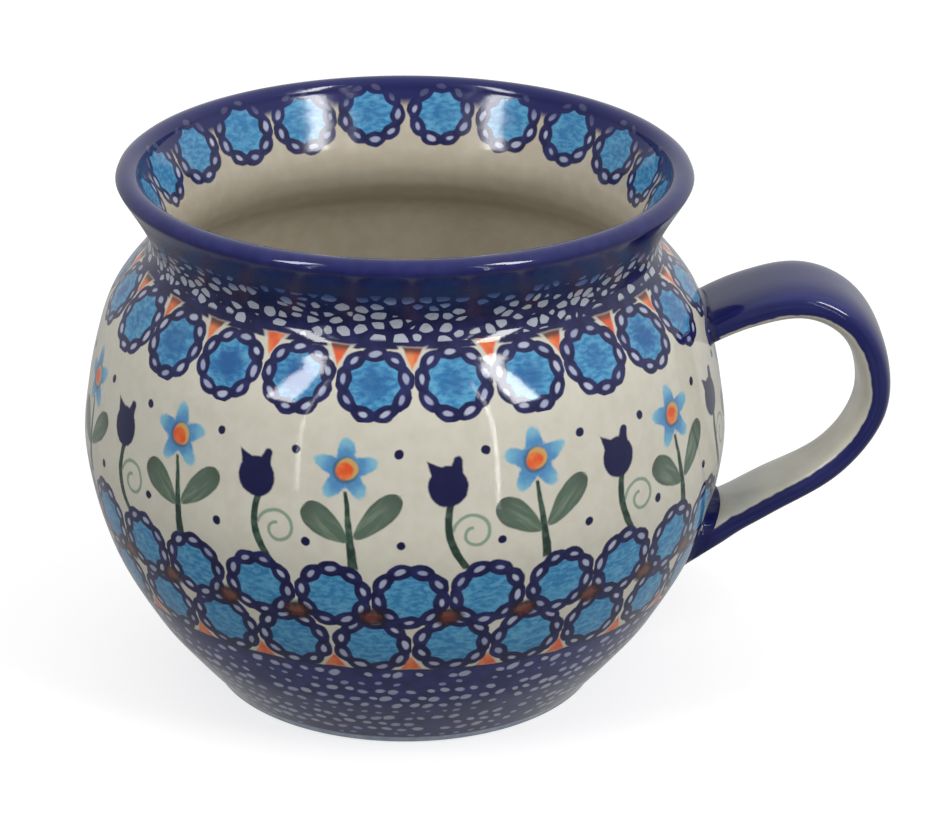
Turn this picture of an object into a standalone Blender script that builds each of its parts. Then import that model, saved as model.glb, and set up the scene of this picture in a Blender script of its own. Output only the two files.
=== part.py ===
"""Polish stoneware mug: a round-bellied body, a strap handle and the two slip joints between them.

Metres, +Z up. The foot stands on Z = 0 and the handle points along +X. Every piece is drawn
about the body's own axis, then set along X so that the origin is the middle of the footprint.
"""

import math

import bmesh
import bpy
from mathutils import Vector
from mathutils.geometry import interpolate_bezier

# Driving sizes of the body
BELLY_RADIUS = 0.0530
MUG_HEIGHT = 0.0886
LIP_RADIUS = 0.0466
LIP_HEIGHT = 0.0869
FOOT_RADIUS = 0.0331
BODY_AXIS_X = -0.0134

# Outer wall as (radius, height), from the foot up to the widest point of the lip
OUTER_WALL = (
    (FOOT_RADIUS, 0.0012),
    (0.0382, 0.0073),
    (0.0432, 0.0140),
    (0.0495, 0.0263),
    (BELLY_RADIUS, 0.0415),
    (0.0519, 0.0527),
    (0.0498, 0.0618),
    (0.0482, 0.0660),
    (0.0463, 0.0690),
    (0.0440, 0.0718),
    (0.0412, 0.0755),
    (0.0424, 0.0797),
    (LIP_RADIUS, LIP_HEIGHT),
)

# Inner wall as (radius, height), from the lip's inner edge down to the floor of the cup
INNER_WALL = (
    (0.0428, 0.0871),
    (0.0387, 0.0795),
    (0.0375, 0.0753),
    (0.0383, 0.0718),
    (0.0404, 0.0688),
    (0.0437, 0.0653),
    (0.0458, 0.0605),
    (0.0476, 0.0520),
    (0.0484, 0.0410),
    (0.0450, 0.0275),
    (0.0392, 0.0165),
    (0.0290, 0.0086),
    (0.0150, 0.0066),
)
CUP_FLOOR_HEIGHT = 0.0063

# Foot ring: a rounded bare edge round a recessed base
FOOT_EDGE_ROUND = 0.0010
FOOT_EDGE_CHAMFER_SHARE = 0.3
FOOT_RING_INNER_RADIUS = 0.0272
BASE_RECESS_RADIUS = 0.0258
BASE_RECESS_HEIGHT = 0.0018

# Resolution of the turned body
WALL_STEPS_PER_SPAN = 2
LIP_STEPS = 5
TURN_STEPS = 56
MERGE_DISTANCE = 0.00001

# Strap handle: the middle of the strap as (distance from the axis, height), from shoulder to belly
STRAP_PATH = (
    (0.0460, 0.0602),
    (0.0560, 0.0648),
    (0.0654, 0.0664),
    (0.0728, 0.0627),
    (0.0768, 0.0546),
    (0.0768, 0.0457),
    (0.0710, 0.0369),
    (0.0601, 0.0302),
    (0.0460, 0.0219),
)
STRAP_STEPS_PER_SPAN = 4
# Strap size as (share of its length from the shoulder, width, thickness)
STRAP_SIZES = (
    (0.00, 0.0184, 0.0050),
    (0.30, 0.0182, 0.0058),
    (0.63, 0.0110, 0.0049),
    (0.86, 0.0138, 0.0048),
    (1.00, 0.0160, 0.0068),
)
STRAP_SECTION_POINTS = 20
STRAP_SECTION_POWER = 3.0

# Slip joints: thin collars between the wall and the ends of the strap
PIECE_GAP = 0.0003
SLIP_THICKNESS = 0.0010
SLIP_SPREAD_AT_WALL = 0.0011
SLIP_SPREAD_AT_STRAP = 0.0003
UPPER_SLIP_DAB = 0.0022
LOWER_SLIP_DAB = 0.0012
CAP_RINGS = 3

# How the ends are seated on the wall: slope sample, search reach and halvings of the search
SLOPE_STEP = 0.0005
SEAT_SEARCH_REACH = 0.030
SEAT_SEARCH_HALVINGS = 40

ROUND_EDGE_ANGLE = math.radians(40.0)

# Paint and glaze, as linear colours
CREAM_GLAZE = (0.63, 0.59, 0.50, 1.0)
COBALT_GLAZE = (0.016, 0.020, 0.120, 1.0)
GLAZE_ROUGHNESS = 0.10


def clear_scene():
    """Remove every object that the file opened with."""
    for old in list(bpy.data.objects):
        bpy.data.objects.remove(old, do_unlink=True)


def glaze(name, colour):
    """Return a glossy glazed-stoneware material."""
    material = bpy.data.materials.new(name)
    material.use_nodes = True
    shader = material.node_tree.nodes["Principled BSDF"]
    shader.inputs["Base Color"].default_value = colour
    shader.inputs["Roughness"].default_value = GLAZE_ROUGHNESS
    shader.inputs["Metallic"].default_value = 0.0
    material.diffuse_color = colour
    return material


def smooth_curve(points, steps):
    """Return a smooth curve through the points, with the given steps in each span."""
    knots = [Vector((a, 0.0, b)) for a, b in points]
    first = knots[0] * 2.0 - knots[1]
    last = knots[-1] * 2.0 - knots[-2]
    padded = [first] + knots + [last]
    curve = []
    for i in range(1, len(padded) - 2):
        before, start, end, after = padded[i - 1:i + 3]
        span = (end - start).length
        pull_start = (end - before).normalized() * span / 3.0
        pull_end = (after - start).normalized() * span / 3.0
        piece = interpolate_bezier(start, start + pull_start, end - pull_end, end, steps + 1)
        curve.extend(piece[:-1])
    curve.append(knots[-1])
    return curve


def lip_arc():
    """Return the half-round lip from the outer wall's end to the inner wall's start."""
    outer = Vector((OUTER_WALL[-1][0], 0.0, OUTER_WALL[-1][1]))
    inner = Vector((INNER_WALL[0][0], 0.0, INNER_WALL[0][1]))
    middle = (outer + inner) / 2.0
    reach = (outer - inner) / 2.0
    rise = Vector((0.0, 0.0, MUG_HEIGHT - middle.z))
    arc = []
    for i in range(1, LIP_STEPS):
        angle = math.pi * i / LIP_STEPS
        arc.append(middle + reach * math.cos(angle) + rise * math.sin(angle))
    top = max(point.z for point in arc)
    for point in arc:
        point.z = middle.z + (point.z - middle.z) * (MUG_HEIGHT - middle.z) / (top - middle.z)
    return arc


def body_outline():
    """Return the body's section from the cup floor, over the lip, down to the base's middle."""
    outer = smooth_curve(OUTER_WALL, WALL_STEPS_PER_SPAN)
    inner = smooth_curve(INNER_WALL, WALL_STEPS_PER_SPAN)
    foot_chamfer = FOOT_EDGE_ROUND * FOOT_EDGE_CHAMFER_SHARE
    foot = [
        Vector((FOOT_RADIUS - foot_chamfer, 0.0, foot_chamfer)),
        Vector((FOOT_RADIUS - FOOT_EDGE_ROUND, 0.0, 0.0)),
        Vector((FOOT_RING_INNER_RADIUS, 0.0, 0.0)),
        Vector((BASE_RECESS_RADIUS, 0.0, BASE_RECESS_HEIGHT)),
        Vector((0.0, 0.0, BASE_RECESS_HEIGHT)),
    ]
    floor_middle = [Vector((0.0, 0.0, CUP_FLOOR_HEIGHT))]
    return floor_middle + inner[::-1] + lip_arc()[::-1] + outer[::-1] + foot


def outline_object(name, outline):
    """Return an object whose mesh is the open outline as a chain of edges."""
    mesh = bpy.data.meshes.new(name)
    edges = [(i, i + 1) for i in range(len(outline) - 1)]
    mesh.from_pydata([tuple(point) for point in outline], edges, [])
    thing = bpy.data.objects.new(name, mesh)
    bpy.context.scene.collection.objects.link(thing)
    return thing


def build_body(material):
    """Turn the body's section about the Z axis."""
    body = outline_object("mug_body", body_outline())
    body.data.materials.append(material)
    screw = body.modifiers.new("turn", "SCREW")
    screw.axis = "Z"
    screw.angle = math.tau
    screw.screw_offset = 0.0
    screw.steps = TURN_STEPS
    screw.render_steps = TURN_STEPS
    screw.use_merge_vertices = True
    screw.merge_threshold = MERGE_DISTANCE
    screw.use_smooth_shade = True
    return body


def wall_radius(height):
    """Return the outer wall's radius at a height, straight between the outline's points."""
    for low, high in zip(WALL_CURVE, WALL_CURVE[1:]):
        if low.z <= height <= high.z:
            share = (height - low.z) / (high.z - low.z)
            return low.x + (high.x - low.x) * share
    return WALL_CURVE[0].x if height < WALL_CURVE[0].z else WALL_CURVE[-1].x


def clearance(point):
    """Return how far the point stands off the wall, along the wall's own slope."""
    rise = wall_radius(point.z + SLOPE_STEP) - wall_radius(point.z - SLOPE_STEP)
    slope = rise / (2.0 * SLOPE_STEP)
    out = math.hypot(point.x, point.y) - wall_radius(point.z)
    return out / math.hypot(1.0, slope)


def slide_to_clearance(point, direction, wanted):
    """Move the point along the direction, towards the wall, until it stands off by the wanted gap."""
    near_point = point - direction * SEAT_SEARCH_REACH
    far_point = point + direction * SEAT_SEARCH_REACH
    for _ in range(SEAT_SEARCH_HALVINGS):
        middle = (near_point + far_point) / 2.0
        if clearance(middle) > wanted:
            near_point = middle
        else:
            far_point = middle
    return (near_point + far_point) / 2.0


def strap_section(width, thickness, turn):
    """Return a rounded strap section's (across, outward) offset at a turn round it."""
    power = 2.0 / STRAP_SECTION_POWER
    side = math.copysign(abs(math.sin(turn)) ** power, math.sin(turn))
    face = math.copysign(abs(math.cos(turn)) ** power, math.cos(turn))
    return side * width / 2.0, face * thickness / 2.0


def strap_size(share):
    """Return the strap's (width, thickness) at a share of its length, 0 at the shoulder."""
    for start, end in zip(STRAP_SIZES, STRAP_SIZES[1:]):
        if share <= end[0]:
            blend = (share - start[0]) / (end[0] - start[0])
            width = start[1] + (end[1] - start[1]) * blend
            thickness = start[2] + (end[2] - start[2]) * blend
            return width, thickness
    return STRAP_SIZES[-1][1:]


def section_loop(station, along, width, thickness):
    """Return the points of one strap section standing square to the path."""
    outward = Vector((-along.z, 0.0, along.x))
    across = Vector((0.0, 1.0, 0.0))
    loop = []
    for i in range(STRAP_SECTION_POINTS):
        turn = math.tau * i / STRAP_SECTION_POINTS
        side, face = strap_section(width, thickness, turn)
        loop.append(station + across * side + outward * face)
    return loop


def path_directions(path):
    """Return the unit direction of travel at each point of the path."""
    directions = []
    for i in range(len(path)):
        before = path[max(i - 1, 0)]
        after = path[min(i + 1, len(path) - 1)]
        directions.append((after - before).normalized())
    return directions


def seat_loop(loop, into_wall, wanted):
    """Slide every point of a loop along one direction until it stands off the wall as wanted."""
    return [slide_to_clearance(point, into_wall, wanted) for point in loop]


def shrink_loop(loop, share):
    """Return the loop drawn in towards its middle."""
    middle = sum(loop, Vector()) / len(loop)
    return [middle + (point - middle) * share for point in loop]


def cap_loops(loop, into_wall, wanted):
    """Return the inner rings of an end face that follows the wall's curve, and its middle point."""
    rings = []
    for i in range(1, CAP_RINGS):
        ring = shrink_loop(loop, 1.0 - i / CAP_RINGS)
        rings.append(seat_loop(ring, into_wall, wanted))
    middle = sum(loop, Vector()) / len(loop)
    return rings, slide_to_clearance(middle, into_wall, wanted)


def add_loop(mesh, loop):
    """Add a loop's points to the mesh and return their vertices."""
    return [mesh.verts.new(point) for point in loop]


def join_loops(mesh, first, second):
    """Face the band between two loops of the same count."""
    count = len(first)
    for i in range(count):
        j = (i + 1) % count
        mesh.faces.new((first[i], first[j], second[j], second[i]))


def close_fan(mesh, loop, middle):
    """Close a loop with triangles to its middle point."""
    tip = mesh.verts.new(middle)
    count = len(loop)
    for i in range(count):
        mesh.faces.new((loop[i], loop[(i + 1) % count], tip))


def lofted_object(name, loops, start_cap, end_cap, material):
    """Return a closed body lofted through the loops, with a ringed cap at each end."""
    mesh = bmesh.new()
    start_rings, start_middle = start_cap
    end_rings, end_middle = end_cap
    chain = start_rings[::-1] + loops + end_rings
    rows = [add_loop(mesh, loop) for loop in chain]
    for first, second in zip(rows, rows[1:]):
        join_loops(mesh, first, second)
    close_fan(mesh, rows[0][::-1], start_middle)
    close_fan(mesh, rows[-1], end_middle)
    bmesh.ops.recalc_face_normals(mesh, faces=mesh.faces)
    data = bpy.data.meshes.new(name)
    mesh.to_mesh(data)
    mesh.free()
    data.materials.append(material)
    data.shade_smooth()
    data.set_sharp_from_angle(angle=ROUND_EDGE_ANGLE)
    thing = bpy.data.objects.new(name, data)
    bpy.context.scene.collection.objects.link(thing)
    return thing


def strap_loops():
    """Return the strap's sections in order and its directions at the two ends."""
    path = smooth_curve(STRAP_PATH, STRAP_STEPS_PER_SPAN)
    directions = path_directions(path)
    lengths = [0.0]
    for first, second in zip(path, path[1:]):
        lengths.append(lengths[-1] + (second - first).length)
    loops = []
    for point, along, length in zip(path, directions, lengths):
        width, thickness = strap_size(length / lengths[-1])
        loops.append(section_loop(point, along, width, thickness))
    return loops, directions[0], directions[-1]


def build_handle(material):
    """Loft the strap between its two ends, each cut to the curve of the wall."""
    stand_off = PIECE_GAP * 2.0 + SLIP_THICKNESS
    between = []
    for loop in STRAP_LOOPS:
        if min(clearance(point) for point in loop) > stand_off + PIECE_GAP:
            between.append(loop)
    first = seat_loop(STRAP_LOOPS[0], -START_ALONG, stand_off)
    last = seat_loop(STRAP_LOOPS[-1], END_ALONG, stand_off)
    start_cap = cap_loops(first, -START_ALONG, stand_off)
    end_cap = cap_loops(last, END_ALONG, stand_off)
    return lofted_object("strap_handle", [first] + between + [last], start_cap, end_cap, material)


def spread_loop(loop, spread, dab, dab_direction):
    """Widen a loop evenly, and pull the side that faces the dab's direction further out."""
    middle = sum(loop, Vector()) / len(loop)
    wide = []
    for point in loop:
        out = (point - middle).normalized()
        facing = max(out.dot(dab_direction), 0.0)
        wide.append(point + out * (spread + dab * facing * facing))
    return wide


def build_slip(name, loop, into_wall, dab, material):
    """Build the collar of slip between the wall and one end of the strap."""
    down = Vector((0.0, 0.0, -1.0))
    wall_side = spread_loop(loop, SLIP_SPREAD_AT_WALL, dab, down)
    strap_side = spread_loop(loop, SLIP_SPREAD_AT_STRAP, 0.0, down)
    inner = PIECE_GAP
    outer = PIECE_GAP + SLIP_THICKNESS
    wall_loop = seat_loop(wall_side, into_wall, inner)
    strap_loop = seat_loop(strap_side, into_wall, outer)
    wall_cap = cap_loops(wall_loop, into_wall, inner)
    strap_cap = cap_loops(strap_loop, into_wall, outer)
    return lofted_object(name, [wall_loop, strap_loop], wall_cap, strap_cap, material)


clear_scene()
WALL_CURVE = smooth_curve(OUTER_WALL, WALL_STEPS_PER_SPAN)
STRAP_LOOPS, START_ALONG, END_ALONG = strap_loops()
cream = glaze("cream_glaze", CREAM_GLAZE)
cobalt = glaze("cobalt_glaze", COBALT_GLAZE)
pieces = [
    build_body(cream),
    build_handle(cobalt),
    build_slip("upper_slip_joint", STRAP_LOOPS[0], -START_ALONG, UPPER_SLIP_DAB, cobalt),
    build_slip("lower_slip_joint", STRAP_LOOPS[-1], END_ALONG, LOWER_SLIP_DAB, cobalt),
]
for piece in pieces:
    piece.location.x = BODY_AXIS_X
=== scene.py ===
import math
from bisect import bisect_right

import bpy
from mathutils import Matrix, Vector
from mathutils.geometry import interpolate_bezier


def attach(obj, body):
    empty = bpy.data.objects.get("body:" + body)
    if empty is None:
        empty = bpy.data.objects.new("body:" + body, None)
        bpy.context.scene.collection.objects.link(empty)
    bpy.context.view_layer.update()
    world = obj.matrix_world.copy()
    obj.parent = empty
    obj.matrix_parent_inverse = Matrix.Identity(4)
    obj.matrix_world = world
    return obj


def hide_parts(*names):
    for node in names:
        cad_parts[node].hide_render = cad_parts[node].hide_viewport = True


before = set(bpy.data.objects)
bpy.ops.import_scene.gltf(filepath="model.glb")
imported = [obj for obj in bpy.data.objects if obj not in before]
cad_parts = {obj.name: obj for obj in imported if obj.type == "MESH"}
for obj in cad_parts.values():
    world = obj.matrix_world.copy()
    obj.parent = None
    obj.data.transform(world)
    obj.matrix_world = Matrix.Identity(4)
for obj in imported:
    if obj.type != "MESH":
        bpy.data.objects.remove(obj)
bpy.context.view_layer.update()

# ---------------- sizes of the mug, in metres

BODY_AXIS_X = -0.0134
MUG_HEIGHT = 0.0886
MM = 1000.0

# Outer wall as (radius, height), from the foot up to the widest point of the lip
OUTER_WALL = (
    (0.0331, 0.0012), (0.0382, 0.0073), (0.0432, 0.0140), (0.0495, 0.0263),
    (0.0529, 0.0415), (0.0519, 0.0527), (0.0498, 0.0618), (0.0482, 0.0660),
    (0.0463, 0.0690), (0.0440, 0.0718), (0.0412, 0.0755), (0.0424, 0.0797),
    (0.0466, 0.0869),
)

# Inner wall as (radius, height), from the lip's inner edge down to the floor of the cup
INNER_WALL = (
    (0.0428, 0.0871), (0.0387, 0.0795), (0.0375, 0.0753), (0.0383, 0.0718),
    (0.0404, 0.0688), (0.0437, 0.0653), (0.0458, 0.0605), (0.0476, 0.0520),
    (0.0484, 0.0410), (0.0450, 0.0275), (0.0392, 0.0165), (0.0290, 0.0086),
    (0.0150, 0.0066), (0.0000, 0.0063),
)

# Foot and base as (radius, height), from the middle of the base out to the wall
FOOT = (
    (0.0000, 0.0018), (0.0120, 0.0018), (0.0250, 0.0018), (0.0258, 0.0016),
    (0.0268, 0.0003), (0.0274, 0.0000), (0.0319, 0.0000), (0.0326, 0.0003),
    (0.0331, 0.0012),
)

TURN_STEPS = 224
WALL_ROW_STEP = 0.0009
CURVE_STEPS = 24
LIP_STEPS = 40
AXIS_TOLERANCE = 0.00001
# Arc length in millimetres to each side over which the wall's direction is taken
NORMAL_REACH = 0.25
SLOPE_REACH = 0.0005
SEAT_REACH = 0.03
SEAT_HALVINGS = 30
FOOT_ROW_STEP = 0.0015
FOOT_SHARP_ANGLE = math.radians(50.0)
FOOT_GLAZE_RADIUS = 0.0318

# ---------------- layout of the pattern, in millimetres
# Heights are arc lengths along the wall, counted from the foot up the outside, over the lip
# and down the inside. Angles are in degrees round the axis, 0 at the handle.

GRAIN_TOP = 24.1
ROSETTE_TOP = 47.1
FRIEZE_TOP = 68.6
NET_BOTTOM = 81.3
NET_TOP = 90.5

ROW_B = {"count": 25, "phase": -96.0, "arc": 30.3, "ring": 5.0, "waist": 0.88, "seed": 11.0}
ROW_A = {"count": 27, "phase": -89.0, "arc": 40.2, "ring": 4.92, "waist": 0.88, "seed": 23.0}
ROW_TOP = {"count": 24, "phase": -95.6, "arc": 74.6, "ring": 4.92, "waist": 0.80, "seed": 37.0}
ROW_IN = {"count": 21, "phase": 98.3, "ring": 4.75, "waist": 0.80, "seed": 53.0}
SMEARS_PER_METRE = 140.0
WALL_WAVES_PER_METRE = 45.0
STRAP_WAVES_PER_METRE = 60.0

PLAIT_LOOPS = 9
PLAIT_SWELL = 0.52
EYE_HALF_LENGTH = 0.78
EYE_HALF_WIDTH = 0.44
EYE_SLANT = 0.35

TRIANGLE_TIP = NET_BOTTOM - 4.1
TRIANGLE_BASE = NET_BOTTOM - 0.5
TRIANGLE_HALF_WIDTH = 1.55

NET_PEBBLES_PER_METRE = 400.0
NET_STRETCH = (1.0, 1.0, 1.45)
NET_LINE = 0.165
NET_PEBBLE_REACH = 0.46

GLAZE_IOR = 1.5
UNDER_RIM_ROUGHER = 0.20
WALL_ROUGHNESS = 0.055
INSIDE_ROUGHNESS = 0.11
HANDLE_ROUGHNESS = 0.08
FOOT_EDGE_ROUGHNESS = 0.12
BARE_CLAY_ROUGHNESS = 0.72

# Height in metres of the inner rosettes' middles. The lip's paint ends this far above them.
INNER_RING_HEIGHT = 0.0834
LIP_PAINT_ABOVE_RING = 6.2

GRAINS = {"bottom": 0.4, "pitch": 2.35, "step": 2.60, "width": 0.88, "height": 0.62, "seed": 83.0}

BROWN_ARC = 36.3
BROWN_HALF_LENGTH = 2.25
BROWN_HALF_HEIGHT = 1.75
LOW_WEDGE_TIP = GRAIN_TOP + 3.7
LOW_WEDGE_BASE = GRAIN_TOP + 0.5
LOW_WEDGE_HALF_WIDTH = 1.75

# Widest wander of a brushed edge
HAND_SHAKE = 0.55

# The frieze's two flowers alternate. Their shapes are measured from the middle of each flower.
FRIEZE_UNITS = 11
STAR = {"phase": -100.0, "arc": 61.2, "seed": 91.0}
TULIP = {"phase": -115.7, "arc": 58.8, "seed": 97.0}

PETALS = 5.0
PETAL_TURN = 94.0
PETAL_REACH = 3.95
PETAL_SWING = 1.25
STAR_RING_RADIUS = 2.05
STAR_CRESCENT_RADIUS = 1.65
STAR_DISC_RADIUS = 1.35
STAR_STEM_START = 3.2
STAR_STEM_LENGTH = 13.0

# Leaves as (middle, degrees, half length, half width, swell towards the tip)
LEAVES = (
    ((-3.05, -8.6), 143.0, 4.4, 2.15, 0.40),
    ((5.0, -7.2), 45.5, 4.9, 1.95, 0.34),
)
DOTS = ((-7.9, 2.6), (8.0, 2.8), (-6.1, -11.8), (8.8, -11.6))
DOT_RADIUS = 0.70

TULIP_HALF_WIDTH = 3.1
TULIP_HALF_HEIGHT = 3.2
TULIP_CHEST_HALF_WIDTH = 2.32
TULIP_LEFT_HORN = ((-3.10, 3.65), (-2.40, 0.6), (0.3, 2.0))
TULIP_RIGHT_HORN = ((1.75, 5.0), (0.1, 1.9), (2.45, 1.4))
TULIP_RIGHT_HORN_TOP = 4.25
TULIP_RIGHT_TIP = ((1.55, 2.2), (1.72, 3.6), 0.72)
TULIP_STEM_BEND = -6.3

TENDRIL_MIDDLE = (4.0, -8.0)
TENDRIL_START = math.radians(173.0)
TENDRIL_REACH = 3.35
TENDRIL_CLOSING = 0.322
TENDRIL_HALF_WIDTH = 0.27


def rgb(red, green, blue):
    """Return a colour given in 0 to 255 display values as a linear colour."""
    linear = []
    for level in (red, green, blue):
        share = level / 255.0
        linear.append(share / 12.92 if share <= 0.04045 else ((share + 0.055) / 1.055) ** 2.4)
    return (*linear, 1.0)


CREAM = rgb(208, 205, 191)
CREAM_DEEP = rgb(196, 191, 174)
CREAM_SPECK = rgb(184, 176, 156)
# The inside's cream is the outside's cream painted darker and browner, as painted shade inside the cup
SHADED_INSIDE_CREAM = rgb(184, 174, 155)
NAVY = rgb(16, 17, 66)
COBALT = rgb(30, 33, 84)
COBALT_WASH = rgb(52, 58, 116)
RIM_COBALT = rgb(26, 30, 90)
RIM_WASH = rgb(54, 56, 120)
# Painted shade: a dark greyish blue laid on the wall under the lip's overhang
PAINTED_LIP_SHADE = rgb(34, 40, 82)
SKY = rgb(84, 156, 194)
SKY_DEEP = rgb(50, 122, 172)
SKY_PALE = rgb(112, 172, 200)
SKY_CORE = rgb(30, 88, 148)
PETAL_DEEP = rgb(62, 132, 186)
PETAL_PALE = rgb(116, 180, 204)
PETAL_RING = rgb(66, 88, 100)
GRAIN_WHITE = rgb(184, 188, 208)
GRAIN_BLUE = rgb(132, 142, 186)
GRAIN_INK = rgb(24, 27, 92)
GRAIN_INK_WASH = rgb(56, 62, 142)
FOOT_GLAZE = rgb(146, 162, 186)
FOOT_GLAZE_PALE = rgb(178, 190, 204)
PEBBLE_WHITE = rgb(172, 178, 188)
PEBBLE_BLUE = rgb(74, 98, 152)
ORANGE = rgb(222, 84, 36)
ORANGE_PALE = rgb(228, 132, 74)
BROWN = rgb(108, 50, 40)
BROWN_DARK = rgb(34, 22, 34)
OCHRE = rgb(206, 164, 92)
LEAF = rgb(70, 96, 80)
LEAF_DARK = rgb(38, 58, 50)
LEAF_PALE = rgb(112, 130, 110)
TENDRIL = rgb(122, 148, 128)
BARE_CLAY = rgb(196, 178, 150)
CLAY_STAIN = rgb(168, 146, 116)
CLAY_GRIT = rgb(112, 92, 74)


# ---------------- drawing with shader nodes

class Value:
    """A number that varies over a surface, worked out by shader nodes."""

    def __init__(self, paint, socket):
        self.paint = paint
        self.socket = socket

    def __add__(self, other):
        return self.paint.math("ADD", self, other)

    def __sub__(self, other):
        return self.paint.math("SUBTRACT", self, other)

    def __rsub__(self, other):
        return self.paint.math("SUBTRACT", other, self)

    def __mul__(self, other):
        return self.paint.math("MULTIPLY", self, other)

    def __truediv__(self, other):
        return self.paint.math("DIVIDE", self, other)

    def __mod__(self, other):
        return self.paint.math("FLOORED_MODULO", self, other)

    def __abs__(self):
        return self.paint.math("ABSOLUTE", self)

    __radd__ = __add__
    __rmul__ = __mul__


class Tree:
    """A node tree that nodes and arithmetic are added to."""

    def __init__(self, tree):
        self.tree = tree

    def node(self, kind, inputs=None, **settings):
        """Add a node with the given settings and inputs."""
        made = self.tree.nodes.new(kind)
        for key, value in settings.items():
            setattr(made, key, value)
        for key, value in (inputs or {}).items():
            self.feed(made.inputs[key], value)
        return made

    def feed(self, socket, value):
        """Link a value or a socket to a socket, or set the socket to a plain number or colour."""
        if isinstance(value, Value):
            value = value.socket
        if isinstance(value, bpy.types.NodeSocket):
            self.tree.links.new(value, socket)
        else:
            socket.default_value = value

    def math(self, operation, *values):
        """Return one arithmetic operation on the values."""
        made = self.node("ShaderNodeMath", dict(enumerate(values)), operation=operation)
        return Value(self, made.outputs[0])


class Paint(Tree):
    """One material's node tree, with the shapes and the strokes that draw on it."""

    def __init__(self, name, roughness):
        self.material = bpy.data.materials.new(name)
        self.material.use_nodes = True
        super().__init__(self.material.node_tree)
        self.shader = self.tree.nodes["Principled BSDF"]
        self.roughness = roughness
        self.shader.inputs["IOR"].default_value = GLAZE_IOR
        self.position = self.node("ShaderNodeTexCoord").outputs["Object"]

    def least(self, first, *others):
        """Return the smallest of the values."""
        for other in others:
            first = self.math("MINIMUM", first, other)
        return first

    def most(self, first, *others):
        """Return the largest of the values."""
        for other in others:
            first = self.math("MAXIMUM", first, other)
        return first

    def length(self, u, v):
        """Return the distance of (u, v) from the origin."""
        return self.math("SQRT", u * u + v * v)

    def ramp(self, value, start, end):
        """Return a smooth rise from 0 at start to 1 at end."""
        span = {"Value": value, "From Min": start, "From Max": end}
        made = self.node("ShaderNodeMapRange", span, interpolation_type="SMOOTHSTEP")
        return Value(self, made.outputs["Result"])

    def inside(self, distance, soft=0.14):
        """Return 1 where a signed distance in millimetres is negative, with a soft edge."""
        return 1.0 - self.ramp(distance, -soft, soft)

    def attribute(self, name):
        """Return a number that the mesh carries."""
        made = self.node("ShaderNodeAttribute", attribute_name=name)
        return Value(self, made.outputs["Fac"])

    def stretched(self, stretch):
        """Return the socket of the surface point, stretched along its axes."""
        mapping = self.node("ShaderNodeMapping", {"Scale": stretch, "Vector": self.position})
        return mapping.outputs["Vector"]

    def joined(self, *values):
        """Return the socket of a vector made of up to three values."""
        return self.node("ShaderNodeCombineXYZ", dict(enumerate(values))).outputs[0]

    def channels(self, colour_socket):
        """Return a colour's three channels."""
        split = self.node("ShaderNodeSeparateColor", {0: colour_socket})
        return [Value(self, socket) for socket in split.outputs]

    def noise(self, scale, detail=2.0, roughness=0.5, source=None):
        """Return cloudy noise from 0 to 1 and its colour socket. Scale is in clouds per metre."""
        source = source or self.position
        settings = {"Vector": source, "Scale": scale, "Detail": detail, "Roughness": roughness}
        made = self.node("ShaderNodeTexNoise", settings)
        return Value(self, made.outputs["Fac"]), made.outputs["Color"]

    def pebbles(self, scale, stretch):
        """Return a pebble's distance to its edge, its distance from its middle, and its chance."""
        settings = {"Scale": scale, "Randomness": 0.85, "Vector": self.stretched(stretch)}
        found = [self.node("ShaderNodeTexVoronoi", settings, feature=feature)
                 for feature in ("DISTANCE_TO_EDGE", "F1")]
        edge, middle = [Value(self, made.outputs["Distance"]) for made in found]
        return edge, middle, self.channels(found[1].outputs["Color"])[0]

    def brushed(self, along, side, seed):
        """Return streaks from 0 to 1 that run along a brush stroke."""
        return self.noise(1.0, source=self.joined(along, side, seed))[0]

    def chances(self, first, second=0.0):
        """Return three random numbers from 0 to 1 that belong to a pair of whole numbers."""
        made = self.node("ShaderNodeTexWhiteNoise", {"Vector": self.joined(first, second)})
        return self.channels(made.outputs["Color"])

    def blend(self, share, under, over):
        """Return the over colour laid on the under colour."""
        made = self.node("ShaderNodeMix", {0: share, 6: under, 7: over}, data_type="RGBA")
        return Value(self, made.outputs[2])

    def wash(self, value, start, end, share, under, over):
        """Lay a share of the over colour on the under colour where the value rises past start."""
        return self.blend(self.ramp(value, start, end) * share, under, over)

    def glaze_bumps(self, waves_per_metre, fine):
        """Return the glaze's slow waviness and its fine orange-peel grain."""
        slow, _ = self.noise(waves_per_metre, detail=1.0)
        return [(slow, 0.25, 0.0006), (fine, 0.12, 0.00005)]

    def finish(self, colour, bumps, rougher=0.0):
        """Wire the colour, the gloss and the surface's small unevenness to the shader."""
        smear, _ = self.noise(SMEARS_PER_METRE, detail=3.0)
        gloss = self.ramp(smear, 0.35, 0.75) * self.roughness * 0.6 + self.roughness + rougher
        self.feed(self.shader.inputs["Base Color"], colour)
        self.feed(self.shader.inputs["Roughness"], gloss)
        under = {}
        for height, strength, distance in bumps:
            settings = {"Strength": strength, "Distance": distance, "Height": height, **under}
            under = {"Normal": self.node("ShaderNodeBump", settings).outputs["Normal"]}
        self.feed(self.shader.inputs["Normal"], under["Normal"])
        return self.material


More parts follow.
